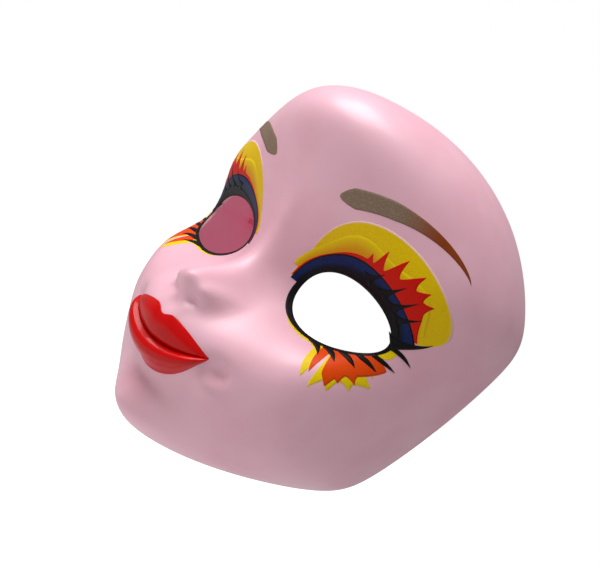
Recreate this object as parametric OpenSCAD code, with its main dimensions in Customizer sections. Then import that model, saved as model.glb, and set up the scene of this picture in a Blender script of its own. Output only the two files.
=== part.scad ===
// Full-face doll mask: one thin moulded plastic shell with two eye openings, two strap
// lugs on its inside at the temples, and printed make-up films lying on its front.
// The face looks along -Y, the crown is up, and the rearmost points of the rim (the
// temples) lie in the plane y = 0. All sizes are millimetres.

/* [Rim outline] */
// Half width of the oval that rounds the crown and the jaw
oval_w = 104; // [94:1:116]
// Height of the crown above the middle
crown_h = 101; // [84:1:120]
// Depth of the chin edge below the middle
jaw_h = 97.5; // [80:0.5:116]
// Half width of the mask across its cheek edges, at the middle
cheek_w = 83; // [69:1:92]
// How far each cheek edge leans outward, in mm per mm of height
cheek_lean = 0.2; // [0:0.01:0.25]
// How far the crown's rim sits in front of the temples
crown_sweep = 37; // [24:1:46]
// How far the chin's rim sits in front of the temples
chin_sweep = 42; // [28:1:50]

/* [Shell] */
// Thickness of the moulded wall
wall = 2; // [1.4:0.1:3]
// Depth of the plain dome under the features
dome_d = 95; // [80:1:115]

/* [Relief] */
// Height of the nose above the dome
nose_h = 19; // [10:0.5:26]
// Height of the nose tip, from the middle
nose_z = -21; // [-26:1:-14]
// Depth of each eye socket
socket_d = 20; // [10:0.5:24]
// Fullness of each cheek
cheek_h = 15.5; // [4:0.5:19]
// Fullness of the mouth mound
mouth_h = 18; // [10:0.5:24]
// Height of the middle of the mouth mound
mouth_z = -40.5; // [-45:0.5:-36]
// Fullness of the chin
chin_h = 12; // [4:0.5:20]
// Fullness of the forehead
brow_h = 17; // [8:0.5:22]
// Relief of the lips on the mound
lip_h = 3; // [0:0.25:5]

/* [Eye openings] */
// Distance from the middle to the centre of each eye opening
eye_x = 41; // [36:0.5:46]
// Height of the centre of each eye opening
eye_z = 2.5; // [-3:0.5:8]
// Width of each eye opening
eye_w = 43; // [32:0.5:46]
// Height of each eye opening
eye_h = 30; // [20:0.5:34]
// Upward tilt of each opening towards the temple, in degrees
eye_tilt = 7; // [0:1:14]

/* [Mouth and brows] */
// Width of the mouth from corner to corner
mouth_w = 49; // [36:1:56]
// Height of the mouth's corners
mouth_corner_z = -44; // [-48:0.5:-40]
// Height of the seam between the lips at the middle
mouth_seam_z = -53; // [-56:0.5:-50]
// Height of each brow's peak
brow_z = 54; // [48:1:60]
// Widest part of each brow
brow_t = 7; // [3:0.5:10]

/* [Make-up films] */
// Thickness of a printed film
film_t = 0.15; // [0.1:0.05:0.4]
// Gap between the shell and the lowest film, and between films
film_gap = 0.1; // [0.04:0.02:0.2]
// Width of the dark liner over the outer lid
liner_w = 5; // [2:0.25:6]
// Reach of the navy band beyond the outer lid
navy_w = 9; // [6:0.5:11]
// Reach of the yellow shade beyond the upper edge of the opening
shade_w = 27.8; // [22:0.2:30]
// Lashes on each upper lid
upper_lashes = 5; // [3:1:9]
// Lashes on each lower lid
lower_lashes = 6; // [3:1:9]

/* [Strap lugs] */
// Diameter of the cord hole
cord_hole = 4; // [2:0.5:6]
// Width of plastic round the cord hole
lug_rim = 3.5; // [2.5:0.5:5]
// Thickness of each lug
lug_t = 3; // [2:0.5:6]
// Gap between the cord hole and the inner wall
lug_reach = 4; // [3:0.5:8]
// How deep each lug is rooted in the wall
lug_root = 1.2; // [0.6:0.1:1.8]
// Direction of each lug from the middle, in degrees above level
lug_angle = 8; // [0:1:15]

/* [Hidden] */
sides = ["left", "right"];

crown_round = 2.32;      // exponent of the crown's oval, 2 is an ellipse
jaw_round = 1.43;        // exponent of the jaw's oval
oval_taper = 0.185;      // how much narrower the oval is above the middle than below
temple_corner = 28;      // sharpness of the corner between oval and cheek edge
dome_round = 2.2;        // the dome's exponents straight sideways
dome_edge = 2.4;
nose_run = 38;           // length of the nose above its tip
lug_rear = 0.999;        // levels between which each lug stands on the wall
lug_fore = 0.9925;
grid_n = 32;             // cells across the face
rim_level = 0.95;        // level of the rim line where the side wall's rings begin
wall_rings = 5;          // rings of cells down the side wall
eye_rings = 3;           // rings of cells round each eye opening
eye_cells_x = 10;        // cells across the block that each eye's rings replace
eye_cells_z = 8;
side_n = 4 * grid_n;
eye_n = 2 * (eye_cells_x + eye_cells_z);
slope_step = 0.5;        // step used to measure a slope

skin = "#eec6d2";
lip_red = "#b40a0a";
brow_brown = "#8a5f45";
yellow = "#e8c400";
orange = "#e08a10";
flame_red = "#cf2405";
navy = "#0b2a55";
black = "#141114";

function mix(a, b, t) = a + (b - a) * t;
function bump(x, z, cx, cz, sx, sz) = exp(-pow((x - cx) / sx, 2) - pow((z - cz) / sz, 2));
function pair(x, z, cx, cz, sx, sz) = bump(x, z, cx, cz, sx, sz) + bump(x, z, -cx, cz, sx, sz);

// Level of a point: 0 at the middle of the face, 1 on the rim, growing along straight rays
function level(x, z) =
    let(r = norm([x, z]) + 1e-6, h = z > 0 ? crown_h : jaw_h)
    let(e = z > 0 ? crown_round : jaw_round)
    let(across = abs(x) * (1 + oval_taper * z / r) / oval_w)
    let(oval = pow(pow(across, e) + pow(abs(z) / h, e), 1 / e))
    let(side = max(abs(x) - cheek_lean * z, 0) / cheek_w)
    pow(pow(oval, temple_corner) + pow(side, temple_corner), 1 / temple_corner);

// Height of the rim line in front of the temples
function rim_lift(z) = z > 0 ? crown_sweep * pow(z / crown_h, 2) : chin_sweep * pow(z / jaw_h, 2);

// Plain dome, whose two exponents change from straight sideways to straight up or down
function upright(x, z) = z * z / (x * x + z * z + 1e-6);
function dome_m(x, z) = dome_round + (z > 0 ? 1.85 : 0.9) * upright(x, z);
function dome_n(x, z) = dome_edge + (z > 0 ? -0.75 : 0.6) * upright(x, z);
function dome(x, z, l) = dome_d * pow(max(1 - pow(l, dome_m(x, z)), 0), 1 / dome_n(x, z));

// Broad features, each a soft bump
function broad_relief(x, z) =
    cheek_h * pair(x, z, 64, -22, 22, 22)
    - socket_d * pair(x, z, 38, 3, 24, 18)
    + mouth_h * bump(x, z, 0, mouth_z, 41, 18.5)
    + chin_h * bump(x, z, 0, 10.5 - jaw_h, 20, 14)
    + brow_h * bump(x, z, 0, 0.7 * crown_h, 45, 30);

// Nose: a ridge that rises towards the tip, with a soft wing each side of it
function nose_relief(x, z) =
    let(t = min(max((nose_z + nose_run - z) / nose_run, 0), 1))
    let(below = z < nose_z ? exp(-pow((z - nose_z) / 7, 2)) : 1)
    let(above = z > nose_z + nose_run ? exp(-pow((z - nose_z - nose_run) / 14, 2)) : 1)
    nose_h * (0.12 + 0.88 * pow(t, 1.6)) * below * above * exp(-pow(x / (6 + 4.5 * t), 2))
    + 0.32 * nose_h * pair(x, z, 8.5, nose_z - 2, 4.5, 5.5);

function lip_relief(x, z) =
    lip_h * (pair(x, z, 8, mouth_seam_z + 6, 9, 4.5) + 1.2 * bump(x, z, 0, mouth_seam_z - 6, 14, 5));

function face_h(x, z, fine = 1) =
    let(l = min(level(x, z), 1))
    rim_lift(z) + dome(x, z, l)
    + (broad_relief(x, z) + fine * (nose_relief(x, z) + lip_relief(x, z))) * (1 - pow(l, 8));

// Outward normal of the face without its fine relief
function broad_normal(x, z) =
    let(d = slope_step)
    let(sx = (face_h(x + d, z, 0) - face_h(x - d, z, 0)) / (2 * d))
    let(sz = (face_h(x, z + d, 0) - face_h(x, z - d, 0)) / (2 * d))
    [-sx, -1, -sz] / norm([sx, 1, sz]);

// A point of the front surface raised by a height, and the matching point of the back one
function front(p, raise = 0) =
    let(n = broad_normal(p.x, p.y)) [p.x, -face_h(p.x, p.y), p.y] + raise * n;
function back(p) =
    let(q = front(p, -wall)) [q.x, min(q.y, -rim_lift(p.y)), q.z];

// Point of the face plane on the ray (x, z) at a level
function on_ray(x, z, l) = [x, z] * (l / level(x, z));

// Square grid drawn out to the rim's outline
function grid_point(i, j) =
    let(s = 2 * i / grid_n - 1, t = 2 * j / grid_n - 1)
    let(x = s * sqrt(1 - t * t / 2), z = t * sqrt(1 - s * s / 2), r = norm([x, z]))
    r < 1e-6 ? [0, 0] : on_ray(x * oval_w, z * crown_h, rim_level * r);

// Walk round a block of cells, counter-clockwise from its lower corner away from the nose
function block_edge(k, i0, j0, ni, nj) =
    k < nj ? [i0 + ni, j0 + k]
    : k < nj + ni ? [i0 + ni - (k - nj), j0 + nj]
    : k < 2 * nj + ni ? [i0, j0 + nj - (k - nj - ni)]
    : [i0 + (k - 2 * nj - ni), j0];

function grid_index(c) = c.x * (grid_n + 1) + c.y;

// Outline of the left eye opening, offset outward by d, at an angle from the temple side
function eye_edge(a, d = 0) =
    let(u = (eye_w / 2 + d) * cos(a), v = (eye_h / 2 + d) * sin(a) * (1 - 0.12 * cos(a)))
    [eye_x + u * cos(eye_tilt) - v * sin(eye_tilt), eye_z + u * sin(eye_tilt) + v * cos(eye_tilt)];

// Direction of a point seen from the eye's centre, in the outline's own measure
function eye_angle(p) =
    let(q = [p.x - eye_x, p.y - eye_z])
    let(u = q.x * cos(eye_tilt) + q.y * sin(eye_tilt), v = q.y * cos(eye_tilt) - q.x * sin(eye_tilt))
    atan2(v / eye_h, u / eye_w);

eye_i = floor(grid_n / 2 + grid_n / 2 * eye_x / (rim_level * cheek_w) - eye_cells_x / 2 + 0.5);
eye_j = floor(grid_n / 2 + grid_n / 2 * eye_z / (rim_level * crown_h) - eye_cells_z / 2 + 0.5);
blocks = [[eye_i, eye_j], [grid_n - eye_i - eye_cells_x, eye_j]];

function in_block(i, j, b) =
    i >= b.x && i < b.x + eye_cells_x && j >= b.y && j < b.y + eye_cells_z;

// Ring point k between an eye block's edge (t = 0) and the eye opening (t = 1)
function eye_ring_point(side, k, t) =
    let(c = block_edge(k, blocks[side].x, blocks[side].y, eye_cells_x, eye_cells_z))
    let(p = grid_point(c.x, c.y), m = side == 0 ? 1 : -1)
    let(e = eye_edge(eye_angle([m * p.x, p.y])))
    mix(p, [m * e.x, e.y], t);

// Face plane points: grid, side wall rings, then the rings of the left and right eye
grid_count = (grid_n + 1) * (grid_n + 1);
eyes_start = grid_count + wall_rings * side_n;
function wall_level(k, q) =
    let(m = dome_m(q.x, q.y), n = dome_n(q.x, q.y))
    let(f = pow(1 - pow(rim_level, m), 1 / n) * (1 - k / wall_rings))
    pow(max(1 - pow(f, n), 0), 1 / m);
function wall_point(k, p) =
    let(c = block_edge(p, 0, 0, grid_n, grid_n), q = grid_point(c.x, c.y))
    on_ray(q.x, q.y, wall_level(k, q));
plane_points = concat(
    [for (i = [0:grid_n]) for (j = [0:grid_n]) grid_point(i, j)],
    [for (k = [1:wall_rings]) for (p = [0:side_n - 1]) wall_point(k, p)],
    [for (side = [0, 1]) for (k = [1:eye_rings]) for (p = [0:eye_n - 1])
        eye_ring_point(side, p, k / eye_rings)]
);

function wall_index(k, p) =
    k == 0 ? grid_index(block_edge(p % side_n, 0, 0, grid_n, grid_n))
    : grid_count + (k - 1) * side_n + p % side_n;
function eye_index(side, k, p) =
    k == 0 ? grid_index(block_edge(p % eye_n, blocks[side].x, blocks[side].y, eye_cells_x, eye_cells_z))
    : eyes_start + (side * eye_rings + k - 1) * eye_n + p % eye_n;

// Cells of the face plane, counter-clockwise from the front
cells = concat(
    [for (i = [0:grid_n - 1]) for (j = [0:grid_n - 1])
        if (!in_block(i, j, blocks[0]) && !in_block(i, j, blocks[1]))
            [grid_index([i, j]), grid_index([i + 1, j]), grid_index([i + 1, j + 1]), grid_index([i, j + 1])]],
    [for (k = [1:wall_rings]) for (p = [0:side_n - 1])
        [wall_index(k - 1, p), wall_index(k, p), wall_index(k, p + 1), wall_index(k - 1, p + 1)]],
    [for (side = [0, 1]) for (k = [1:eye_rings]) for (p = [0:eye_n - 1])
        [eye_index(side, k, p), eye_index(side, k - 1, p), eye_index(side, k - 1, p + 1), eye_index(side, k, p + 1)]]
);

function split(q) = [[q[0], q[1], q[2]], [q[0], q[2], q[3]]];
function split_all(quads) = [for (q = quads) each split(q)];
function turn(q) = [q[0], q[3], q[2], q[1]];   // turned over, split along the same diagonal

module mask_shell() {
    count = len(plane_points);
    rim_edge = [for (p = [0:side_n - 1])
        let(a = wall_index(wall_rings, p), b = wall_index(wall_rings, p + 1)) [a, b, b + count, a + count]];
    eye_edges = [for (side = [0, 1]) for (p = [0:eye_n - 1])
        let(a = eye_index(side, eye_rings, p), b = eye_index(side, eye_rings, p + 1)) [a, a + count, b + count, b]];
    color(skin) polyhedron(
        points = concat([for (p = plane_points) front(p)], [for (p = plane_points) back(p)]),
        faces = split_all(concat(
            [for (c = cells) turn(c)],
            [for (c = cells) [for (v = c) v + count]],
            rim_edge,
            eye_edges
        ))
    );
}

// A lug stands on the inner wall between two points of one ray
module strap_lug(side) {
    ray = [cos(lug_angle), sin(lug_angle)];
    rear = back(on_ray(ray.x, ray.y, lug_rear));
    fore = back(on_ray(ray.x, ray.y, lug_fore));
    middle = (rear + fore) / 2;
    inward = atan2(fore.x - rear.x, rear.y - fore.y) + 180;
    lug_w = cord_hole + 2 * lug_rim;
    reach = lug_reach + cord_hole / 2;
    color(skin) mirror([side == "left" ? 0 : 1, 0, 0])
        translate(middle) rotate([0, 0, inward]) difference() {
            union() {
                translate([-lug_root, -lug_w / 2, -lug_t / 2]) cube([reach + lug_root, lug_w, lug_t]);
                translate([reach, 0, -lug_t / 2]) cylinder(d = lug_w, h = lug_t, $fn = 48);
            }
            translate([reach, 0, -lug_t]) cylinder(d = cord_hole, h = 2 * lug_t, $fn = 48);
        }
}

// Thin closed film over a patch of the face: shape(u, v) gives its face plane points, layer
// counts from the shell up, and a ring closes on itself along u
module film(shape, nu, nv, layer, ring = false) {
    cols = ring ? nu : nu + 1;
    low = film_gap + (layer - 1) * (film_t + film_gap);
    patch = [for (i = [0:cols - 1]) for (j = [0:nv]) shape(i / nu, j / nv)];
    count = len(patch);
    function at(i, j) = (i % cols) * (nv + 1) + j;
    top = [for (i = [0:nu - 1]) for (j = [0:nv - 1])
        [at(i, j), at(i + 1, j), at(i + 1, j + 1), at(i, j + 1)]];
    long_edges = [for (i = [0:nu - 1]) each [
        [at(i, 0), at(i, 0) + count, at(i + 1, 0) + count, at(i + 1, 0)],
        [at(i + 1, nv), at(i + 1, nv) + count, at(i, nv) + count, at(i, nv)]]];
    end_edges = ring ? [] : [for (j = [0:nv - 1]) each [
        [at(0, j + 1), at(0, j + 1) + count, at(0, j) + count, at(0, j)],
        [at(nu, j), at(nu, j) + count, at(nu, j + 1) + count, at(nu, j + 1)]]];
    polyhedron(
        points = concat([for (p = patch) front(p, low + film_t)], [for (p = patch) front(p, low)]),
        faces = split_all(concat(
            top,
            [for (q = top) [for (v = turn(q)) v + count]],
            long_edges,
            end_edges
        ))
    );
}

// A film on the left eye, or its mirror image on the right one
module eye_film(side, layer, shape, nu, nv, ring = false) {
    mirror([side == "left" ? 0 : 1, 0, 0]) film(shape, nu, nv, layer, ring);
}

// Lips: seam, upper outline with its notch, and lower outline
function across_mouth(x) = 2 * abs(x) / mouth_w;
function seam_z(x) = mix(mouth_seam_z, mouth_corner_z, pow(across_mouth(x), 2));
function upper_lip_z(x) =
    mouth_corner_z + 4.7 * (1 - pow(across_mouth(x), 2.2)) - 1.5 * exp(-pow(x / 3.5, 2));
function lower_lip_z(x) = mouth_corner_z - 20.5 * pow(max(1 - pow(across_mouth(x), 2), 0), 0.8);
lip_end = 0.97;          // share of the mouth's half width where the paint stops
seam_gap = 0.2;          // half the width of the seam between the two films

module upper_lip_paint() {
    color(lip_red) film(function(u, v)
        let(x = lip_end * mouth_w / 2 * (1 - 2 * u))
        [x, mix(upper_lip_z(x), seam_z(x) + seam_gap, v)], 28, 4, 1);
}

module lower_lip_paint() {
    color(lip_red) film(function(u, v)
        let(x = lip_end * mouth_w / 2 * (1 - 2 * u))
        [x, mix(seam_z(x) - seam_gap, lower_lip_z(x), v)], 28, 4, 1);
}

// Brow: an arch that rises from its blunt nose end and drops past its peak to a fine tail
module brow_paint(side) {
    color(brow_brown) eye_film(side, 1, function(u, v)
        let(t = 1 - u, z = brow_z - 14 + 5 * t + 28 * pow(t, 1.2) * pow(u, 0.75))
        let(half = brow_t / 2 * pow(min((t + 0.03) / 0.16, 1), 0.6) * pow(min((u + 0.03) / 0.62, 1), 0.8))
        [20.5 + 53.5 * t, z + mix(half, -half, v)], 24, 2);
}

// How far each print reaches outside the eye opening at an angle from the temple side
function hill(a, middle, width) = exp(-pow((a - middle) / width, 2));
function tongue(a, middle, high, half) = high * pow(max(1 - abs(a - middle) / half, 0), 1.4);
function step(a, at, soft) = 1 / (1 + exp((at - a) / soft));
function liner_reach(a) =
    1.2 + (liner_w - 1.3) * hill(a, 50, 42) + 1.1 * (hill(a, 190, 42) + hill(a, -170, 42));
function navy_reach(a) = 4.7 + (navy_w - 4.7) * step(-a, -103, 12);
function red_base(a) = 5.2 + 4.6 * exp(-pow(max(a - 80, 0) / 28, 2)) + 8.3 * hill(a, 48, 16);
function red_reach(a) =
    red_base(a) + max([for (k = [0:3]) tongue(a, 77 - 10 * k, 8 - abs(k - 1) * 1.5, 6)]);
function orange_reach(a) = red_base(a) + 2.4 + 4.2 * hill(a, 88, 26);
function yellow_reach(a) =
    let(nose_side = pow(0.5 + 0.5 * cos(180 * min(max((a - 55) / 117, 0), 1)), 1.35))
    let(temple_side = pow(1 - pow(min(max((55 - a) / 40, 0), 1), 2.6), 0.6))
    5.5 + (shade_w - 5.5) * (a > 55 ? nose_side : temple_side);
function flames_reach(a) =
    let(group = step(a, -68, 0.8) * step(-a, 30, 1) * (11 - 0.13 * (a + 62)))
    1.9 + max(10 * pow(max(1 - abs(a + 76) / 6, 0), 0.8), group)
    + max([for (k = [0:2]) tongue(a, -65 + 6 * k, 4.5 - k, 4)]);
function glow_reach(a) =
    let(group = step(a, -69.5, 0.8) * step(-a, 46, 1) * 13)
    let(line = 1.8 + 3.2 * step(a, -24, 2) * step(-a, -1, 2))
    1.2 + max(line, 12 * pow(max(1 - abs(a + 79) / 8, 0), 0.9), group + tongue(a, -66, 5, 5));

// A band round the eye from angle a0 to a1, from the far reach in to the edge of the liner
module band(side, layer, a0, a1, far, nu, nv = 2) {
    eye_film(side, layer, function(u, v)
        let(a = mix(a0, a1, u), near = max(liner_reach(a) - 0.8, 0.4))
        eye_edge(a, mix(max(far(a), near + 0.2), near, v)), nu, nv);
}

module yellow_shade(side) {
    color(yellow) band(side, 1, 16, 170, function(a) yellow_reach(a), 36, 4);
}

module orange_shade(side) {
    color(orange) band(side, 2, 24, 160, function(a) orange_reach(a), 30, 3);
}

module red_flames(side) {
    color(flame_red) band(side, 3, 18, 168, function(a) red_reach(a), 60, 3);
}

module navy_band(side) {
    color(navy) band(side, 4, 13, 172, function(a) navy_reach(a), 30);
}

module eye_liner(side) {
    color(black) eye_film(side, 5, function(u, v)
        let(a = 360 * u) eye_edge(a, mix(liner_reach(a > 180 ? a - 360 : a), 0.4, v)), 60, 1, true);
}

// One tapered stroke from a root on the eye's edge, its lean given in degrees above level
module stroke(side, root, lean, long, wide, bow) {
    eye_film(side, 6, function(u, v)
        let(across = wide * (1.06 - u) * (v - 0.5) + 4 * bow * u * (1 - u))
        root + [long * u * cos(lean) - across * sin(lean), long * u * sin(lean) + across * cos(lean)],
        6, 1);
}

// Upper lashes fan out over the lid and end in a wing at the temple
module upper_lashes(side) {
    color(black) {
        for (k = [0:upper_lashes - 2]) {
            t = k / max(upper_lashes - 2, 1);
            stroke(side, eye_edge(mix(82, 36, t), 3.6), 44 - 5 * t, 9.5 + 3 * sin(180 * t), mix(5, 4, t), -0.5);
        }
        stroke(side, eye_edge(6, 0.4), 38, 16, 6.5, -1.6);
    }
}

module lower_glow(side) {
    color(yellow) band(side, 1, -132, 2, function(a) glow_reach(a), 56, 3);
}

module lower_flames(side) {
    color(flame_red) band(side, 2, -80, -26, function(a) flames_reach(a), 44, 3);
}

module lower_lashes(side) {
    color(black) for (k = [0:lower_lashes - 1])
        stroke(side, eye_edge(mix(-97, -8, k / (lower_lashes - 1)), 1.1), 3 * k - 18, 9, 1.6, 1 - 0.2 * k);
}

mask_shell();
upper_lip_paint();
lower_lip_paint();
for (side = sides) {
    strap_lug(side);
    brow_paint(side);
    yellow_shade(side);
    orange_shade(side);
    red_flames(side);
    navy_band(side);
    eye_liner(side);
    upper_lashes(side);
    lower_glow(side);
    lower_flames(side);
    lower_lashes(side);
}
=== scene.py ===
"""Full-face doll mask: one satin plastic shell with two eye openings, glossy lips and printed
eye make-up. Shapes are worked out in millimetres on the face plane, x towards the mask's own
left and z up, and stand out from it along -y. Every piece is in metres in its mesh."""

import bmesh
import bpy
import numpy as np
from mathutils import Matrix, Vector


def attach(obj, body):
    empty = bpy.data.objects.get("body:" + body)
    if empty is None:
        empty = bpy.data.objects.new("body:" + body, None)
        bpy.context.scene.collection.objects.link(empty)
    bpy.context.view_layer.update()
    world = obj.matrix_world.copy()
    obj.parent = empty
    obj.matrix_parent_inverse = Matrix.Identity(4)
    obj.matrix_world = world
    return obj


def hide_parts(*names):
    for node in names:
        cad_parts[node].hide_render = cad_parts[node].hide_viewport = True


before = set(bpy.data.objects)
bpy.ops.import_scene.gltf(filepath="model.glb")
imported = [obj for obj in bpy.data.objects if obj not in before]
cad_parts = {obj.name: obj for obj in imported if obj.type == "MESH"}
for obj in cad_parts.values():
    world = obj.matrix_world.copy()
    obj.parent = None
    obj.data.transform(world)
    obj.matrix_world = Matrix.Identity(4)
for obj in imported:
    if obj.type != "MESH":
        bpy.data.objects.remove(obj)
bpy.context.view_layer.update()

MM = 0.001
LEFT, RIGHT = 1, -1

# Sizes of the moulding, in millimetres
OVAL_W, CROWN_H, JAW_H, CHEEK_W = 104, 101, 97.5, 83
CHEEK_LEAN, CROWN_SWEEP, CHIN_SWEEP = 0.2, 37, 42
WALL, DOME_D = 2.0, 95
EDGE_ROUND = 0.6

# Powers and shares that shape its outline, its dome and the way its relief fades at the rim
CROWN_ROUND, JAW_ROUND, OVAL_TAPER, TEMPLE_CORNER = 2.32, 1.43, 0.185, 28
DOME_ROUND, DOME_EDGE, RELIEF_FADE = 2.2, 2.4, 8

# Places and sizes of the features
CHEEK_H, SOCKET_D, MOUTH_H, CHIN_H, BROW_H = 15.5, 20, 19.5, 12, 17
NOSE_H, NOSE_Z, NOSE_RUN = 19, -21, 38
EYE_X, EYE_Z, EYE_W, EYE_H, EYE_TILT = 41, 2.5, 43, 30, np.radians(7)
MOUTH_W, MOUTH_Z, SEAM_Z, CORNER_Z = 49, -40.5, -51.5, -44
UPPER_LIP_SWELL, LOWER_LIP_SWELL = 1.9, 6.6

# How far the prints stand out of the shell, one above another, and are sunk in it
PRINT_LIFT, LAYER_STEP, PRINT_SINK, LIP_LIFT, LIP_SINK = 0.05, 0.03, 0.06, 0.08, 1.5

# Points of a print closer than this, in metres, are made one
WELD = 2e-6


# ---------------------------------------------------------------- the face as a height over x and z
def bump(x, z, cx, cz, sx, sz):
    """Soft hill: e to the minus sum of the squared distances from its centre over its widths."""
    return np.exp(-(((x - cx) / sx) ** 2) - ((z - cz) / sz) ** 2)


def pair(x, z, cx, cz, sx, sz):
    """The same hill on both halves of the face."""
    return bump(x, z, cx, cz, sx, sz) + bump(x, z, -cx, cz, sx, sz)


def rise(t):
    """Smooth step: 3 t squared less 2 t cubed, with t held between 0 and 1."""
    t = np.clip(t, 0, 1)
    return t * t * (3 - 2 * t)


def level(x, z):
    """0 at the middle of the face and 1 on its rim: a high power mean of an oval, fuller at the
    crown than at the jaw, and a straight cheek edge that leans outward."""
    r = np.hypot(x, z) + 1e-9
    e = np.where(z > 0, CROWN_ROUND, JAW_ROUND)
    across = np.abs(x) * (1 + OVAL_TAPER * z / r) / OVAL_W
    oval = (across**e + (np.abs(z) / np.where(z > 0, CROWN_H, JAW_H)) ** e) ** (1 / e)
    side = np.maximum(np.abs(x) - CHEEK_LEAN * z, 0) / CHEEK_W
    return (oval**TEMPLE_CORNER + side**TEMPLE_CORNER) ** (1 / TEMPLE_CORNER)


def rim_lift(z):
    """How far the rim stands in front of the temples: a parabola up and another one down."""
    return np.where(z > 0, CROWN_SWEEP * (z / CROWN_H) ** 2, CHIN_SWEEP * (z / JAW_H) ** 2)


def dome_powers(x, z):
    """The dome's two exponents, which change from straight sideways to straight up or down."""
    up = z * z / (x * x + z * z + 1e-9)
    m = DOME_ROUND + np.where(z > 0, 1.85, 0.9) * up
    n = DOME_EDGE + np.where(z > 0, -0.75, 0.6) * up
    return m, n


def dome(x, z, reach):
    """Plain dome: depth times the n-th root of 1 less the level to the power m."""
    m, n = dome_powers(x, z)
    return DOME_D * np.maximum(1 - reach**m, 0) ** (1 / n)


def broad_relief(x, z):
    """Cheeks, eye sockets, mouth mound, chin and forehead, each a soft hill or hollow."""
    return (
        CHEEK_H * pair(x, z, 64, -22, 22, 22)
        - SOCKET_D * pair(x, z, 38, 3, 24, 18)
        + MOUTH_H * bump(x, z, 0, MOUTH_Z, 40, 18.5)
        + CHIN_H * bump(x, z, 0, 10.5 - JAW_H, 20, 14)
        + BROW_H * bump(x, z, 0, 0.7 * CROWN_H, 45, 30)
    )


def nose_relief(x, z):
    """A ridge that widens and rises to the power 1.5 towards a round tip, two soft wings, and two
    nostrils pressed into its underside."""
    t = np.clip((NOSE_Z + NOSE_RUN - z) / NOSE_RUN, 0, 1)
    below = np.where(z < NOSE_Z, np.exp(-(((z - NOSE_Z) / 9.5) ** 2)), 1)
    above = np.where(z > NOSE_Z + NOSE_RUN, np.exp(-(((z - NOSE_Z - NOSE_RUN) / 14) ** 2)), 1)
    ridge = NOSE_H * (0.12 + 0.5 * t**1.5) * below * above * np.exp(-((x / (6 + 4.5 * t)) ** 2))
    tip = 0.42 * NOSE_H * bump(x, z, 0, NOSE_Z + 1, 9, 9)
    wings = 0.28 * NOSE_H * pair(x, z, 9.5, NOSE_Z - 3, 4.2, 5)
    nostrils = 1.8 * pair(x, z, 5.6, NOSE_Z - 9.5, 2.6, 2.2)
    return ridge + tip + wings - nostrils


def mouth_relief(x, z):
    """Groove under the nose, dimples beside the mouth, and a hollow under the lower lip."""
    return (
        0.5 * pair(x, z, 5, -35, 2.4, 5)
        - 1.0 * bump(x, z, 0, -34.5, 3, 5)
        - 4.4 * pair(x, z, 29, -46, 4.6, 4.4)
        + 2.2 * pair(x, z, 28, -54.5, 5, 4)
        - 1.6 * bump(x, z, 0, -69, 15, 4.5)
    )


def face_height(x, z, fine=1.0):
    """Rim lift, dome, and relief that fades out towards the rim as 1 less a power of the level."""
    reach = np.minimum(level(x, z), 1)
    relief = broad_relief(x, z) + fine * (nose_relief(x, z) + mouth_relief(x, z))
    return rim_lift(z) + dome(x, z, reach) + relief * (1 - reach**RELIEF_FADE)


def face_normal(x, z, fine=0.0, d=0.05):
    """Outward direction of the face, with or without its fine relief, from slopes across 2 d."""
    sx = (face_height(x + d, z, fine) - face_height(x - d, z, fine)) / (2 * d)
    sz = (face_height(x, z + d, fine) - face_height(x, z - d, fine)) / (2 * d)
    n = np.stack([-sx, -np.ones_like(sx), -sz], -1)
    return n / np.linalg.norm(n, axis=-1, keepdims=True)


def on_face(x, z, lift=0.0):
    """Points of the front of the face, moved outward by a height."""
    base = np.stack([x, -face_height(x, z), z], -1)
    return base + np.asarray(lift)[..., None] * face_normal(x, z)


# ---------------------------------------------------------------- outlines on the face plane
def eye_point(a, d):
    """Point at angle a, in degrees from the temple side, d outside the eye opening: an oval,
    flatter towards the temple, turned by the tilt."""
    a = np.radians(a)
    u = (EYE_W / 2 + d) * np.cos(a)
    v = (EYE_H / 2 + d) * np.sin(a) * (1 - 0.12 * np.cos(a))
    c, s = np.cos(EYE_TILT), np.sin(EYE_TILT)
    return EYE_X + u * c - v * s, EYE_Z + u * s + v * c


def eye_angle(x, z):
    """Angle, in degrees, at which a point lies as seen from the middle of the left eye opening."""
    c, s = np.cos(EYE_TILT), np.sin(EYE_TILT)
    u, v = (x - EYE_X) * c + (z - EYE_Z) * s, (z - EYE_Z) * c - (x - EYE_X) * s
    return np.degrees(np.arctan2(v / EYE_H, u / EYE_W))


def mouth_share(x):
    """How far out a place is, from 0 at the middle of the mouth to 1 at its corner."""
    return np.minimum(2 * np.abs(x) / MOUTH_W, 1)


def seam_z(x):
    """Seam between the lips: a parabola from its middle up to the corners."""
    return SEAM_Z + (CORNER_Z - SEAM_Z) * mouth_share(x) ** 2


def upper_lip_z(x):
    """Top of the upper lip: a flat arch with a notch in the middle."""
    return CORNER_Z + 5 * (1 - mouth_share(x) ** 1.9) - 2.6 * np.exp(-((x / 3.4) ** 2))


def lower_lip_z(x):
    """Bottom of the lower lip: a deep arch."""
    return CORNER_Z - 20.5 * (1 - mouth_share(x) ** 2) ** 0.8


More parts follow.
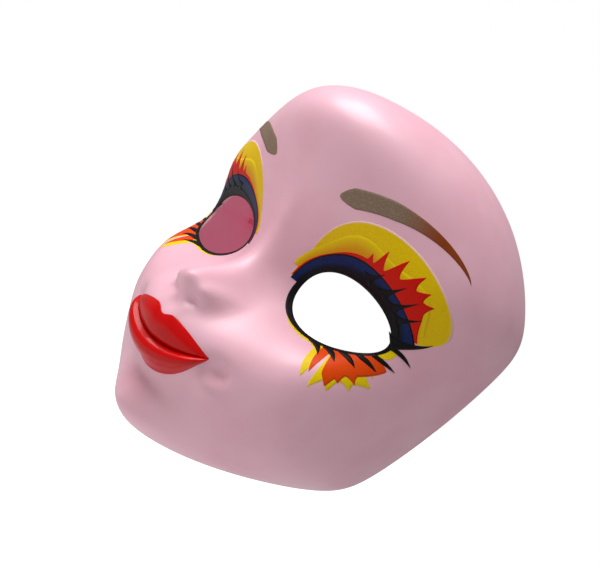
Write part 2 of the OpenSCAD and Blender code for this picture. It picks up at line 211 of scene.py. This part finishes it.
# ---------------------------------------------------------------- meshes
def add_piece(name, points, faces, material, node, smooth=True, uv=None, merge=0.0):
    """A mesh from points in millimetres; uv gives each point its place on the print."""
    mesh = bpy.data.meshes.new(name)
    mesh.from_pydata((points * MM).tolist(), [], [tuple(f) for f in faces.tolist()])
    if uv is not None:
        layer = mesh.uv_layers.new(name="print")
        loop_points = np.empty(len(mesh.loops), int)
        mesh.loops.foreach_get("vertex_index", loop_points)
        layer.data.foreach_set("uv", uv[loop_points].ravel())
    mesh.polygons.foreach_set("use_smooth", [smooth] * len(mesh.polygons))
    mesh.materials.append(material)
    piece = bpy.data.objects.new(name, mesh)
    bpy.context.scene.collection.objects.link(piece)
    if merge:
        work = bmesh.new()
        work.from_mesh(mesh)
        bmesh.ops.remove_doubles(work, verts=work.verts, dist=merge)
        work.to_mesh(mesh)
        work.free()
    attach(piece, "root")
    if node:
        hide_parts(node)
    return piece


def strip(a, b):
    """Quads between two closed loops of point numbers, b on the far side of a."""
    return np.stack([a, b, np.roll(b, -1), np.roll(a, -1)], 1)


def frame_walk(i0, j0, i1, j1):
    """Grid places round a rectangle of cells, counter-clockwise from its lower right corner."""
    right = [(i1, j) for j in range(j0, j1)]
    top = [(i, j1) for i in range(i1, i0, -1)]
    left = [(i0, j) for j in range(j1, j0, -1)]
    bottom = [(i, j0) for i in range(i0, i1)]
    return np.array(right + top + left + bottom)


def rounded_edge(points, normals, steps=4):
    """Rings of points round a cut edge: a quarter circle, the straight cut, a quarter circle."""
    along = np.roll(points, -1, 0) - np.roll(points, 1, 0)
    away = np.cross(along, normals)
    away /= np.linalg.norm(away, axis=1, keepdims=True)
    turn = np.linspace(0, np.pi / 2, steps + 1)
    out = EDGE_ROUND * np.concatenate([np.sin(turn[1:]), np.cos(turn[:-1])])
    down = EDGE_ROUND * np.concatenate([1 - np.cos(turn[1:]), np.sin(turn[:-1]) - 1])
    down[steps:] += WALL
    return [points + o * away - s * normals for o, s in zip(out, down)]


def nearest(values, target):
    """Number of the value that is closest to a target."""
    return int(np.abs(values - target).argmin())


def shell_mesh(n=176, rim_level=0.95, rim_rings=13, eye_rings=14, crowding=0.35, margin=9):
    """The moulding: a square grid drawn out to the rim's outline and crowded towards the nose,
    rings of cells down the side wall and round each eye opening, which take up the grid within a
    margin of it, the same again one wall further in, and rounded edges."""
    s = np.linspace(-1, 1, n + 1)
    nose_row = -0.35
    t = s - crowding * (s - nose_row) * (1 - s * s)
    s = s - crowding * s * (1 - s * s)
    gs, gt = np.meshgrid(s, t, indexing="ij")
    gx, gz = gs * np.sqrt(1 - gt * gt / 2), gt * np.sqrt(1 - gs * gs / 2)
    r = np.hypot(gx, gz)
    scale = rim_level * r / np.maximum(level(gx * OVAL_W, gz * CROWN_H), 1e-9)
    gx, gz = gx * OVAL_W * scale, gz * CROWN_H * scale
    number = np.arange((n + 1) ** 2).reshape(n + 1, n + 1)
    plane = [np.stack([gx, gz], -1).reshape(-1, 2)]
    count = (n + 1) ** 2

    walk = frame_walk(0, 0, n, n)
    edge = np.stack([gx, gz], -1)[walk[:, 0], walk[:, 1]]
    m, p = dome_powers(edge[:, 0], edge[:, 1])
    f0 = (1 - rim_level**m) ** (1 / p)
    chain = [number[walk[:, 0], walk[:, 1]]]
    for k in range(1, rim_rings + 1):
        f = f0 + (EDGE_ROUND / DOME_D - f0) * k / rim_rings
        reach = (1 - f**p) ** (1 / m)
        plane.append(edge * (reach / rim_level)[:, None])
        chain.append(count + np.arange(len(edge)))
        count += len(edge)
    chains = [chain]

    cells = np.ones((n, n), bool)
    half_w, half_h = EYE_W / 2 + margin, EYE_H / 2 + margin
    i0, i1 = [nearest(gx[:, n // 2], EYE_X + q) for q in (-half_w, half_w)]
    j0, j1 = [nearest(gz[(i0 + i1) // 2], EYE_Z + q) for q in (-half_h, half_h)]
    for side in (LEFT, RIGHT):
        lo, hi = (i0, i1) if side == LEFT else (n - i1, n - i0)
        cells[lo:hi, j0:j1] = False
        walk = frame_walk(lo, j0, hi, j1)[::-1]
        outer = np.stack([gx, gz], -1)[walk[:, 0], walk[:, 1]]
        ex, ez = eye_point(eye_angle(side * outer[:, 0], outer[:, 1]), EDGE_ROUND)
        inner = np.stack([side * ex, ez], -1)
        chain = [number[walk[:, 0], walk[:, 1]]]
        for k in range(1, eye_rings + 1):
            share = 1 - (1 - k / eye_rings) ** 1.2
            plane.append(outer + (inner - outer) * share)
            chain.append(count + np.arange(len(outer)))
            count += len(outer)
        chains.append(chain)

    plane = np.concatenate(plane)
    front = on_face(plane[:, 0], plane[:, 1])
    front[:, 1] += lip_bed(plane[:, 0], plane[:, 1])
    normals = face_normal(plane[:, 0], plane[:, 1], 1.0)
    points = [front, front - WALL * normals]
    a, b = number[:-1, :-1][cells], number[1:, :-1][cells]
    c, d = number[1:, 1:][cells], number[:-1, 1:][cells]
    faces = [np.stack([a, b, c, d], 1), np.stack([d, c, b, a], 1) + count]
    total = 2 * count
    for chain in chains:
        faces += [strip(p, q) for p, q in zip(chain, chain[1:])]
        faces += [strip(q, p) + count for p, q in zip(chain, chain[1:])]
        rings = [chain[-1]]
        for ring in rounded_edge(front[chain[-1]], normals[chain[-1]])[:-1]:
            points.append(ring)
            rings.append(total + np.arange(len(ring)))
            total += len(ring)
        rings.append(chain[-1] + count)
        faces += [strip(p, q) for p, q in zip(rings, rings[1:])]
    inside = np.zeros(total)
    inside[count : 2 * count] = 1
    return np.concatenate(points), np.concatenate(faces), inside


def lip_bed(x, z):
    """How far the shell dips under the lips, so that they never let it show."""
    top, low = upper_lip_z(x), lower_lip_z(x)
    t = np.clip((z - low) / np.maximum(top - low, 0.1), 0, 1)
    return 1.2 * np.sqrt(1 - mouth_share(x) ** 2) * 4 * t * (1 - t)


def film_mesh(shape, nu, nv, lift, sink=PRINT_SINK, ring=False, side=LEFT, relief=None):
    """Thin closed print over a patch of the face: shape(u, v) gives its places on the face plane,
    u running counter-clockwise and v towards the feature. Its underside is sunk in the shell."""
    cols = nu if ring else nu + 1
    u, v = np.meshgrid(np.arange(cols) / nu, np.linspace(0, 1, nv + 1), indexing="ij")
    x, z = shape(u, v)
    height = lift + (relief(u, v) if relief else 0 * u)
    top, low = on_face(x, z, height), on_face(x, z, -sink + 0 * u)
    number = np.arange(cols * (nv + 1)).reshape(cols, nv + 1)
    if ring:
        number = np.concatenate([number, number[:1]])
    count = cols * (nv + 1)
    quads = np.stack([number[:-1, :-1], number[1:, :-1], number[1:, 1:], number[:-1, 1:]], -1)
    quads = quads.reshape(-1, 4)
    near, far = number[:, -1], number[:, 0]
    walls = [
        np.stack([far[:-1], far[:-1] + count, far[1:] + count, far[1:]], 1),
        np.stack([near[1:], near[1:] + count, near[:-1] + count, near[:-1]], 1),
    ]
    if not ring:
        first, last = number[0], number[-1]
        walls += [
            np.stack([first[1:], first[1:] + count, first[:-1] + count, first[:-1]], 1),
            np.stack([last[:-1], last[:-1] + count, last[1:] + count, last[1:]], 1),
        ]
    faces = np.concatenate([quads, quads[:, ::-1] + count, *walls])
    points = np.concatenate([top.reshape(-1, 3), low.reshape(-1, 3)])
    uv = np.stack([u.ravel(), v.ravel()], -1)
    if side == RIGHT:
        points = points * (-1, 1, 1)
        faces = faces[:, ::-1]
    return points, faces, np.concatenate([uv, uv])


def joined(parts):
    """Several meshes as one list of points, faces and print places."""
    offset = np.cumsum([0] + [len(p[0]) for p in parts[:-1]])
    return (
        np.concatenate([p[0] for p in parts]),
        np.concatenate([p[1] + o for p, o in zip(parts, offset)]),
        np.concatenate([p[2] for p in parts]),
    )


# ---------------------------------------------------------------- reaches of the prints round an eye
def bell(a, middle, width):
    """e to the minus square of the distance from the middle over the width."""
    return np.exp(-(((a - middle) / width) ** 2))


def liner_reach(a):
    """Black liner: thin, wider over the outer lid and a little wider at the nose."""
    return 1.2 + 3.7 * bell(a, 50, 42) + 1.1 * bell(a, 190, 42) + 1.1 * bell(a, -170, 42)


def navy_reach(a):
    """Navy band: narrow at the nose and stepping up over the lid."""
    return 4.7 + 4.3 / (1 + np.exp((a - 103) / 12))


def red_base(a):
    """Red line that swells into the root of the flames over the outer lid."""
    return 5.2 + 4.6 * np.exp(-((np.maximum(a - 80, 0) / 28) ** 2)) + 8.3 * bell(a, 48, 16)


def tongues(a, tips, power=2.0):
    """Flames: for each (angle, height, half width) a cusp, 1 less the distance, to a power."""
    reach = [h * np.clip(1 - np.abs(a - m) / w, 0, 1) ** power for m, h, w in tips]
    return np.max(reach, axis=0)


RED_TIPS = [(82, 3.4, 3.2), (75, 8.2, 5), (65.5, 10.2, 5.6), (56, 8, 5), (48.4, 4.6, 3.6), (42, 4.2, 4)]
FLAME_TIPS = [(-63.5, 5.2, 4.5), (-60.2, 3.2, 3.4), (-53.8, 3.2, 3.6)]
GLOW_TIPS = [(-67, 5.6, 4.2), (-63, 5.0, 3.4), (-57, 3.0, 3.2), (-42.5, 3.6, 4)]


def red_reach(a):
    """Red line and its flames."""
    return red_base(a) + tongues(a, RED_TIPS)


def orange_reach(a):
    """Orange shade: a margin round the red line's base, wider over the inner lid."""
    return red_base(a) + 2.4 + 4.2 * bell(a, 88, 26)


def yellow_reach(a):
    """Yellow shade: a raised cosine up from the nose and a blunt end at the temple."""
    nose_side = (0.5 + 0.5 * np.cos(np.pi * np.clip((a - 55) / 117, 0, 1))) ** 1.35
    temple_side = (1 - np.clip((55 - a) / 40, 0, 1) ** 2.6) ** 0.6
    return 5.5 + 22.3 * np.where(a > 55, nose_side, temple_side)


def gate(a, low, high, soft):
    """1 between two angles and 0 outside them, with soft steps."""
    return 1 / (1 + np.exp(-(a - low) / soft)) / (1 + np.exp((a - high) / soft))


def flames_reach(a):
    """Lower orange flames: one straight tongue, a gap, and a wide group with three tips."""
    single = 12.6 * np.clip(1 - np.abs(a + 76) / 5, 0, 1) ** 0.8
    group = gate(a, -68.6, -28, 0.5) * (11.2 - 0.13 * (a + 62))
    return 1.4 + np.maximum(single, group) + tongues(a, FLAME_TIPS) * gate(a, -69, -40, 0.5)


def glow_reach(a):
    """Yellow round the lower flames: a thin line from the nose, then tongues past the flames."""
    line = 0.9 + 1.2 * rise((a + 95) / 10)
    single = 15.6 * np.clip(1 - np.abs(a + 79) / 7.6, 0, 1) ** 0.8
    group = gate(a, -69.8, -46, 0.45) * 13.4 + gate(a, -46, -30, 0.8) * 6.6
    patch = 3.2 * gate(a, -24, 2, 1.2)
    tips = tongues(a, GLOW_TIPS) * gate(a, -70.5, -38, 0.4)
    return 1.2 + np.maximum.reduce([line, single, group + tips, patch])


def band(a0, a1, near, far, lean=0.0, lean_at=0.0, lean_width=1.0):
    """Shape of a print round the eye from angle a0 to a1, between two reaches, whose far parts
    lean round the eye by an angle that grows with the square of the distance."""
    def shape(u, v):
        a = a0 + (a1 - a0) * u
        reach = near(a) + (np.maximum(far(a), near(a) + 0.02) - near(a)) * (1 - v)
        return eye_point(a + lean * bell(a, lean_at, lean_width) * (reach / 20) ** 2, reach)
    return shape


def stroke(root, direction, length, width, bow, swell):
    """Shape of one tapered stroke from a root on the face plane: straight plus a bow times
    4 t (1 - t), and as wide as the given swell of t."""
    def shape(u, v):
        c, s = np.cos(np.radians(direction)), np.sin(np.radians(direction))
        across = (v - 0.5) * width * swell(u) + bow * 4 * u * (1 - u)
        return root[0] + length * u * c - across * s, root[1] + length * u * s + across * c
    return shape


def thorn(t):
    """Wide foot and slender tip."""
    return 0.42 * (1 - t) + 0.58 * (1 - t) ** 4


def leaf(t):
    """Widest a third of the way along."""
    return np.sin(np.pi * (0.22 + 0.78 * t)) ** 0.85


def brow_shape(u, v):
    """Brow: an arch that drops to a fine tail at the temple; u runs from the tail to the nose."""
    t = 1 - u
    x = 20.5 + 53.5 * t
    z = 40 + 5 * t + 28 * t**1.2 * np.maximum(1 - t, 0) ** 0.75
    half = 3.3 * np.clip(t / 0.12, 0, 1) ** 0.6 * np.clip((1 - t) / 0.6, 0, 1) ** 0.7
    return x + 1.2 * (v - 0.5) * half * (1 - t), z + (0.5 - v) * 2 * half


# ---------------------------------------------------------------- shader tools
def nodes_of(material):
    """Node tree and Principled shader of a new material."""
    material.use_nodes = True
    tree = material.node_tree
    return tree, tree.nodes["Principled BSDF"]


def new_group(name, inputs, outputs):
    """Empty shader group with named sockets, each given as name: (kind, value)."""
    tree = bpy.data.node_groups.new(name, "ShaderNodeTree")
    for label, (kind, value) in inputs.items():
        socket = tree.interface.new_socket(label, in_out="INPUT", socket_type="NodeSocket" + kind)
        if value is not None:
            socket.default_value = value
    for label, kind in outputs.items():
        tree.interface.new_socket(label, in_out="OUTPUT", socket_type="NodeSocket" + kind)
    return tree, tree.nodes.new("NodeGroupInput"), tree.nodes.new("NodeGroupOutput")


def add_node(tree, kind, values=None, **settings):
    """Shader node with its settings, and each input either linked or given a value."""
    node = tree.nodes.new("ShaderNode" + kind)
    for key, value in settings.items():
        setattr(node, key, value)
    for key, value in (values or {}).items():
        if isinstance(value, bpy.types.NodeSocket):
            tree.links.new(value, node.inputs[key])
        else:
            node.inputs[key].default_value = value
    return node


def ramp(tree, value, low, high, result_low=0.0, result_high=1.0):
    """Smooth change from one result to the other while the value goes from low to high."""
    node = add_node(tree, "MapRange", {0: value, 1: low, 2: high, 3: result_low, 4: result_high},
                    interpolation_type="SMOOTHSTEP")
    return node.outputs[0]


def maths(tree, operation, a, b=0.0):
    """Result of one operation on two numbers."""
    return add_node(tree, "Math", {0: a, 1: b}, operation=operation).outputs[0]


def mix_colour(tree, share, a, b):
    """Colour a where the share is 0 and colour b where it is 1."""
    return add_node(tree, "Mix", {0: share, 6: a, 7: b}, data_type="RGBA").outputs[2]


def colour(r, g, b):
    """Display colour from 0 to 255, as linear light."""
    c = np.array([r, g, b]) / 255
    return (*np.where(c < 0.04045, c / 12.92, ((c + 0.055) / 1.055) ** 2.4).tolist(), 1.0)


def fine_grain_group():
    """Grain of a spark-eroded mould: fine noise and a slow unevenness, as a bumped normal."""
    tree, source, sink = new_group(
        "fine_grain",
        {"Scale": ("Float", 2600.0), "Depth": ("Float", 0.00002), "Strength": ("Float", 0.3)},
        {"Normal": "Vector", "Unevenness": "Float"},
    )
    place = add_node(tree, "TexCoord").outputs["Object"]
    scale = source.outputs["Scale"]
    grain = add_node(tree, "TexNoise", {"Vector": place, "Scale": scale, "Detail": 2.0})
    slow = add_node(tree, "TexNoise", {"Vector": place, "Scale": 38.0, "Detail": 3.0})
    raised = add_node(tree, "Bump", {
        "Strength": source.outputs["Strength"],
        "Distance": source.outputs["Depth"],
        "Height": grain.outputs["Fac"],
    })
    tree.links.new(raised.outputs["Normal"], sink.inputs["Normal"])
    tree.links.new(slow.outputs["Fac"], sink.inputs["Unevenness"])
    return tree


def print_speckle_group():
    """Fine dots of a second ink over a first one, as a sprayed print has them."""
    tree, source, sink = new_group(
        "print_speckle",
        {
            "Ink": ("Color", None), "Dots": ("Color", None),
            "Scale": ("Float", 1500.0), "Amount": ("Float", 0.3),
        },
        {"Color": "Color"},
    )
    place = add_node(tree, "TexCoord").outputs["Object"]
    scale = source.outputs["Scale"]
    noise = add_node(tree, "TexNoise", {"Vector": place, "Scale": scale, "Detail": 1.0})
    dots = ramp(tree, noise.outputs["Fac"], 0.5, 0.66)
    share = maths(tree, "MULTIPLY", dots, source.outputs["Amount"])
    mixed = mix_colour(tree, share, source.outputs["Ink"], source.outputs["Dots"])
    tree.links.new(mixed, sink.inputs["Color"])
    return tree


FINE_GRAIN = fine_grain_group()
PRINT_SPECKLE = print_speckle_group()


def finish_material(name, roughness, specular=0.5, grain=0.3, coat=0.0):
    """Material with the mould's grain in its normal; its colour is left to the caller."""
    material = bpy.data.materials.new(name)
    tree, shader = nodes_of(material)
    shader.inputs["Roughness"].default_value = roughness
    shader.inputs["Specular IOR Level"].default_value = specular
    shader.inputs["Coat Weight"].default_value = coat
    group = add_node(tree, "Group", node_tree=FINE_GRAIN)
    group.inputs["Strength"].default_value = grain
    tree.links.new(group.outputs["Normal"], shader.inputs["Normal"])
    return material, tree, shader, group


PINK = colour(240, 195, 208)


def pink_plastic():
    """Satin pink plastic with faint cloudiness and a few specks. The inner wall's deeper pink and faint
    pink glow are painted light: they stand in for light bounced round the hollow and coming through the
    thin wall."""
    material, tree, shader, grain = finish_material("pink_plastic", 0.44, 0.6, 0.35)
    inside = add_node(tree, "Attribute", attribute_name="inside").outputs["Fac"]
    cloud = ramp(tree, grain.outputs["Unevenness"], 0.35, 0.7)
    base = mix_colour(tree, cloud, colour(242, 188, 203), colour(237, 179, 195))
    # Painted light: the inner wall's deeper pink stands in for light bounced inside the hollow and
    # coming through the wall
    base = mix_colour(tree, inside, base, colour(246, 142, 176))
    place = add_node(tree, "TexCoord").outputs["Object"]
    cells = add_node(tree, "TexVoronoi", {"Vector": place, "Scale": 26.0})
    speck = ramp(tree, cells.outputs["Distance"], 0.01, 0.022, 0.35, 0.0)
    base = mix_colour(tree, speck, base, colour(120, 60, 70))
    tree.links.new(base, shader.inputs["Base Color"])
    rough = ramp(tree, grain.outputs["Unevenness"], 0.3, 0.75, 0.36, 0.44)
    tree.links.new(rough, shader.inputs["Roughness"])
    # Painted glow: the inner wall gives off a faint pink light, standing in for light that comes
    # through the thin wall
    glow = maths(tree, "MULTIPLY", inside, 0.07)
    shader.inputs["Emission Color"].default_value = (1.0, 0.2, 0.32, 1)
    tree.links.new(glow, shader.inputs["Emission Strength"])
    return material


def print_place(tree):
    """Place on a print: along it, and from 0 at its far edge to 1 at the feature."""
    uv = add_node(tree, "UVMap", uv_map="print").outputs[0]
    split = add_node(tree, "SeparateXYZ", {0: uv})
    return split.outputs["X"], split.outputs["Y"]


def speckled(tree, ink, dots, scale=1500.0, amount=0.3):
    """Ink with fine dots of a second one."""
    group = add_node(tree, "Group", node_tree=PRINT_SPECKLE)
    for key, value in {"Ink": ink, "Dots": dots, "Scale": scale, "Amount": amount}.items():
        if isinstance(value, bpy.types.NodeSocket):
            tree.links.new(value, group.inputs[key])
        else:
            group.inputs[key].default_value = value
    return group.outputs["Color"]


def yellow_print():
    """Yellow ink, deeper towards the eye, whose outer edge fades into the pink."""
    material, tree, shader, _ = finish_material("yellow_paint", 0.4, 0.14, 0.3)
    _, across = print_place(tree)
    ink = speckled(tree, colour(236, 198, 0), colour(208, 158, 0), 1700.0, 0.3)
    inner = ramp(tree, across, 0.25, 0.9)
    ink = mix_colour(tree, inner, ink, colour(226, 176, 0))
    edge = ramp(tree, across, 0.0, 0.055)
    tree.links.new(mix_colour(tree, edge, PINK, ink), shader.inputs["Base Color"])
    return material


def orange_print():
    """Orange ink that fades into the yellow towards its outer edge."""
    material, tree, shader, _ = finish_material("orange_paint", 0.4, 0.14, 0.3)
    _, across = print_place(tree)
    ink = speckled(tree, colour(226, 150, 4), colour(206, 120, 0), 1700.0, 0.4)
    fade = ramp(tree, across, 0.02, 0.45)
    tree.links.new(mix_colour(tree, fade, colour(234, 200, 4), ink), shader.inputs["Base Color"])
    return material


def plain_print(name, ink, dots, roughness=0.38, amount=0.2):
    """One speckled ink, edge to edge."""
    material, tree, shader, _ = finish_material(name, roughness, 0.14, 0.3)
    tree.links.new(speckled(tree, ink, dots, 1600.0, amount), shader.inputs["Base Color"])
    return material


def navy_print():
    """Navy ink with a black line along its outer edge, deeper towards the eye."""
    material, tree, shader, _ = finish_material("navy_paint", 0.36, 0.16, 0.3)
    _, across = print_place(tree)
    ink = speckled(tree, colour(6, 34, 92), colour(2, 14, 50), 1200.0, 0.6)
    deep = ramp(tree, across, 0.45, 0.8)
    ink = mix_colour(tree, deep, ink, colour(4, 14, 40))
    line = ramp(tree, across, 0.08, 0.13)
    tree.links.new(mix_colour(tree, line, colour(10, 10, 16), ink), shader.inputs["Base Color"])
    return material


def lip_gloss():
    """Red paint, a little uneven, under a clear coat."""
    material, tree, shader, grain = finish_material("lip_gloss", 0.3, 0.1, 0.06, coat=0.3)
    shader.inputs["Coat Roughness"].default_value = 0.09
    ink = mix_colour(tree, ramp(tree, grain.outputs["Unevenness"], 0.3, 0.7),
                     colour(206, 0, 0), colour(190, 0, 2))
    tree.links.new(ink, shader.inputs["Base Color"])
    return material


def brow_print():
    """Brown ink that turns to rust towards the tail, with a painted grey sheen and lighter dots towards
    the nose that stand in for light glancing off it.
    """
    material, tree, shader, _ = finish_material("brow_paint", 0.42, 0.16, 0.3)
    along, across = print_place(tree)
    tail = ramp(tree, along, 0.25, 0.62, 1.0, 0.0)
    # Painted sheen: grey-brown with lighter dots towards the nose stands in for light reflected off the
    # brow's ink
    grey_sheen = speckled(tree, colour(134, 112, 94), colour(166, 146, 126), 1500.0, 0.4)
    rust = speckled(tree, colour(140, 62, 18), colour(118, 46, 12), 1500.0, 0.3)
    tree.links.new(mix_colour(tree, tail, grey_sheen, rust), shader.inputs["Base Color"])
    return material


SKIN = pink_plastic()
YELLOW, ORANGE, NAVY = yellow_print(), orange_print(), navy_print()
RED = plain_print("flame_red_paint", colour(214, 20, 0), colour(190, 0, 0), amount=0.3)
EMBER = plain_print("ember_paint", colour(226, 72, 0), colour(212, 50, 0), amount=0.3)
GLOW = plain_print("glow_paint", colour(238, 208, 10), colour(214, 176, 0), amount=0.4)
BLACK = plain_print("black_paint", colour(14, 12, 15), colour(28, 25, 30), amount=0.4)
LIPS, BROW = lip_gloss(), brow_print()


# ---------------------------------------------------------------- the pieces
def make_shell():
    """The moulding, whose inner wall is marked for its painted deeper pink and glow, which stand in for
    light through the wall and bounced inside.
    """
    points, faces, inside = shell_mesh()
    shell = add_piece("moulded_shell", points, faces, SKIN, "mask_shell")
    layer = shell.data.attributes.new("inside", "FLOAT", "POINT")
    layer.data.foreach_set("value", inside)


def make_lips():
    """Each lip swells from the seam, where it starts steeply, and dies out at its outline."""
    def swell(u, v_from_seam, height):
        share = np.abs(1 - 2 * u)
        form = v_from_seam**0.4 * (1 - v_from_seam) ** 1.2 / 0.435
        return height * np.sqrt(np.maximum(1 - share**2, 0)) * form

    def upper(u, v):
        x = MOUTH_W / 2 * (1 - 2 * u)
        return x, upper_lip_z(x) + (seam_z(x) - upper_lip_z(x)) * v

    def lower(u, v):
        x = MOUTH_W / 2 * (1 - 2 * u)
        return x, seam_z(x) + (lower_lip_z(x) - seam_z(x)) * v

    parts = (
        ("upper_lip", upper, lambda u, v: swell(u, 1 - v, UPPER_LIP_SWELL)),
        ("lower_lip", lower, lambda u, v: swell(u, v, LOWER_LIP_SWELL)),
    )
    for name, shape, relief in parts:
        mesh = film_mesh(shape, 90, 30, LIP_LIFT, sink=LIP_SINK, relief=relief)
        piece = add_piece(name, mesh[0], mesh[1], LIPS, name + "_paint", uv=mesh[2], merge=WELD)


def make_print(name, side, parts, material):
    """One print on one side of the face, made of one or more films."""
    word = "left" if side == LEFT else "right"
    points, faces, uv = joined(parts)
    node = f"{name}_{word}"
    piece = add_piece(f"{name}_print_{word}", points, faces, material, node, uv=uv, merge=WELD)


def make_eye(side):
    """The prints round one eye, laid over one another from the yellow shade to the lashes."""
    def layer(k):
        return PRINT_LIFT + LAYER_STEP * k

    def under(a):
        return liner_reach(a) - 0.6

    def printed(name, shape, nu, nv, k, material):
        make_print(name, side, [film_mesh(shape, nu, nv, layer(k), side=side)], material)

    printed("yellow_shade", band(15.2, 171, under, yellow_reach), 160, 24, 0, YELLOW)
    printed("orange_shade", band(24, 160, under, orange_reach), 140, 12, 1, ORANGE)
    printed("red_flames", band(17, 170, under, red_reach), 420, 14, 2, RED)
    printed("navy_band", band(12, 174, under, navy_reach), 140, 8, 3, NAVY)
    glow = band(-132, 2, lambda a: 0.4 + 0 * a, glow_reach, -8, -68, 6)
    printed("lower_glow", glow, 480, 14, 0, GLOW)
    flames = band(-81, -26, lambda a: 0.4 + 0 * a, flames_reach, -6, -66, 6)
    printed("lower_flames", flames, 300, 12, 1, EMBER)

    def liner(u, v):
        a = 360 * u
        return eye_point(a, liner_reach(np.where(a > 180, a - 360, a)) * (1 - v) - 0.04 * v)

    ring = film_mesh(liner, 180, 5, layer(4), ring=True, side=side)
    make_print("eye_liner", side, [ring], BLACK)

    # Angle of the root, direction, length and width of each upper lash
    upper = [(80, 40, 8.8, 5.5), (62, 45, 11.8, 5.0), (48, 44, 12.4, 4.6), (36, 38, 10.6, 4.4)]
    lashes = [
        film_mesh(stroke(eye_point(a, 3.6), turn, length, width, -0.5, thorn), 14, 3, layer(5),
                  side=side)
        for a, turn, length, width in upper
    ]
    wing = stroke(eye_point(6, -0.3), 38, 16, 7.5, -1.6, thorn)
    lashes.append(film_mesh(wing, 18, 4, layer(5), side=side))
    make_print("upper_lashes", side, lashes, BLACK)

    # Angle of the root, direction, length and bow of each lower lash
    lower = [(-97 + 16.25 * k, -18 + 4 * k, 9, 1.2 - 0.2 * k) for k in range(5)] + [(-5, -8, 9, 1.2)]
    lashes = [
        film_mesh(stroke(eye_point(a, 0.9), turn, length, 1.9, bow, leaf), 14, 3, layer(5), side=side)
        for a, turn, length, bow in lower
    ]
    make_print("lower_lashes", side, lashes, BLACK)

    brow = film_mesh(brow_shape, 90, 8, layer(0), side=side)
    make_print("brow_paint", side, [brow], BROW)


make_shell()
make_lips()
for eye_side in (LEFT, RIGHT):
    make_eye(eye_side)
for lug in ("strap_lug_left", "strap_lug_right"):
    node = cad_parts[lug]
    node.data.materials.clear()
    node.data.materials.append(SKIN)


# ---------------------------------------------------------------- camera, light and floor
def unit(azimuth, elevation=0.0):
    """Direction from the object towards an azimuth and elevation, 0 being straight in front."""
    a, e = np.radians([azimuth, elevation])
    return Vector((np.sin(a) * np.cos(e), -np.cos(a) * np.cos(e), np.sin(e)))


def make_camera(azimuth, elevation, roll, distance, lens, shift):
    """Camera that looks at the middle of the mask, rolled about its line of view."""
    middle = Vector((0, -0.02, 0))
    back = unit(azimuth, elevation)
    right = Vector((np.cos(np.radians(azimuth)), np.sin(np.radians(azimuth)), 0))
    up = back.cross(right)
    c, s = np.cos(np.radians(roll)), np.sin(np.radians(roll))
    turned = Matrix((c * right + s * up, c * up - s * right, back)).transposed()
    data = bpy.data.cameras.new("camera")
    data.sensor_width = 36
    data.lens = lens
    data.shift_x, data.shift_y = shift
    data.clip_start = 0.01
    camera = bpy.data.objects.new("camera", data)
    camera.matrix_world = Matrix.Translation(middle + back * distance) @ turned.to_4x4()
    bpy.context.scene.collection.objects.link(camera)
    bpy.context.scene.camera = camera


def make_softbox(name, azimuth, elevation, distance, size, power):
    """Square area light that faces the frame's origin."""
    place = unit(azimuth, elevation) * distance
    data = bpy.data.lights.new(name, "AREA")
    data.energy, data.size = power, size
    light = bpy.data.objects.new(name, data)
    light.matrix_world = Matrix.Translation(place) @ place.to_track_quat("Z", "Y").to_matrix().to_4x4()
    bpy.context.scene.collection.objects.link(light)


def make_world(light, shown):
    """Pale all-round light, shown brighter behind the object than it shines."""
    world = bpy.data.worlds.new("studio")
    bpy.context.scene.world = world
    world.use_nodes = True
    tree = world.node_tree
    path = tree.nodes.new("ShaderNodeLightPath")
    strength = add_node(tree, "MapRange", {0: path.outputs["Is Camera Ray"], 3: light, 4: shown})
    tree.nodes["Background"].inputs["Color"].default_value = (1, 1, 1, 1)
    tree.links.new(strength.outputs[0], tree.nodes["Background"].inputs["Strength"])


def make_floor(z):
    """Wide square below the mask, which the camera sees as bright as the background."""
    mesh = bpy.data.meshes.new("floor")
    side = 6.0
    corners = [(-side, -side, z), (side, -side, z), (side, side, z), (-side, side, z)]
    mesh.from_pydata(corners, [], [(0, 1, 2, 3)])
    floor = bpy.data.objects.new("floor", mesh)
    bpy.context.scene.collection.objects.link(floor)
    material = bpy.data.materials.new("pale_floor")
    tree, shader = nodes_of(material)
    shader.inputs["Base Color"].default_value = (0.9, 0.9, 0.9, 1)
    shader.inputs["Roughness"].default_value = 0.9
    path = tree.nodes.new("ShaderNodeLightPath")
    shader.inputs["Emission Color"].default_value = (1, 1, 1, 1)
    tree.links.new(path.outputs["Is Camera Ray"], shader.inputs["Emission Strength"])
    mesh.materials.append(material)


make_camera(
    azimuth=31.1, elevation=0.31, roll=38.36, distance=0.3583, lens=40.7, shift=(-0.0468, 0.0306)
)
make_softbox("key", azimuth=-28, elevation=54, distance=0.95, size=0.7, power=10.5)
make_softbox("fill", azimuth=70, elevation=60, distance=1.1, size=0.9, power=0.8)
make_world(light=0.27, shown=1.0)
make_floor(z=-0.3)
bpy.context.scene.view_settings.view_transform = "Standard"
